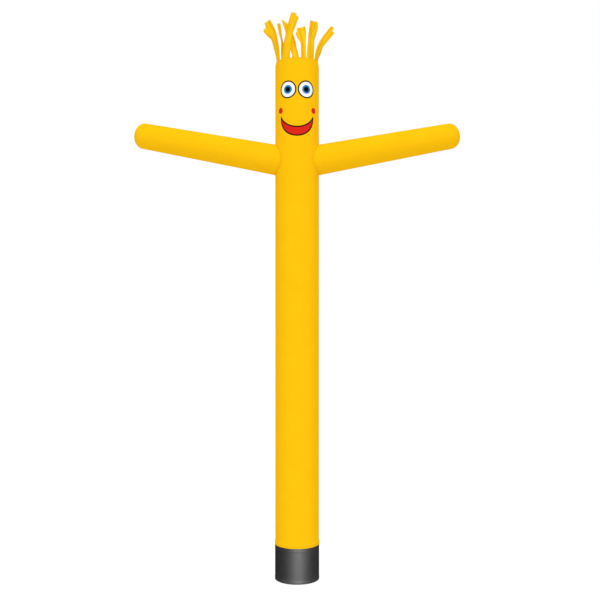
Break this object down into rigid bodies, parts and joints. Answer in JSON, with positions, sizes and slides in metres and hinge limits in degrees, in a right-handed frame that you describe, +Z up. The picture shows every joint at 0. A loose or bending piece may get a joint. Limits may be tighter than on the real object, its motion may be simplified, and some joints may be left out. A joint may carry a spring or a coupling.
{
  "type": "inflatable air dancer",
  "caption": "Tall inflatable nylon tube figure with raised tapered arms, an open head with cloth streamers, and a black sleeve that slips over a blower outlet.",
  "frame": {"origin": "middle of the base sleeve's flat hem, on the surface it stands on", "axes": "+Z up along the tube; -Y is the front, with the printed face; the arms rise to +X and -X"},
  "size_m": [3.498, 0.4786, 6.0228],
  "materials": {
    "tube_nylon": "yellow ripstop nylon, lightly coated, with a printed front",
    "arm_nylon": "yellow ripstop nylon, lightly coated",
    "streamer_nylon": "yellow ripstop nylon with hot-cut edges",
    "sleeve_nylon": "black coated nylon, satin"
  },
  "bodies": {
    "root": {"body_tube": "tube_nylon", "arm_left": "arm_nylon", "arm_right": "arm_nylon", "hair_streamers": "streamer_nylon", "base_sleeve": "sleeve_nylon"}
  },
  "joints": []
}
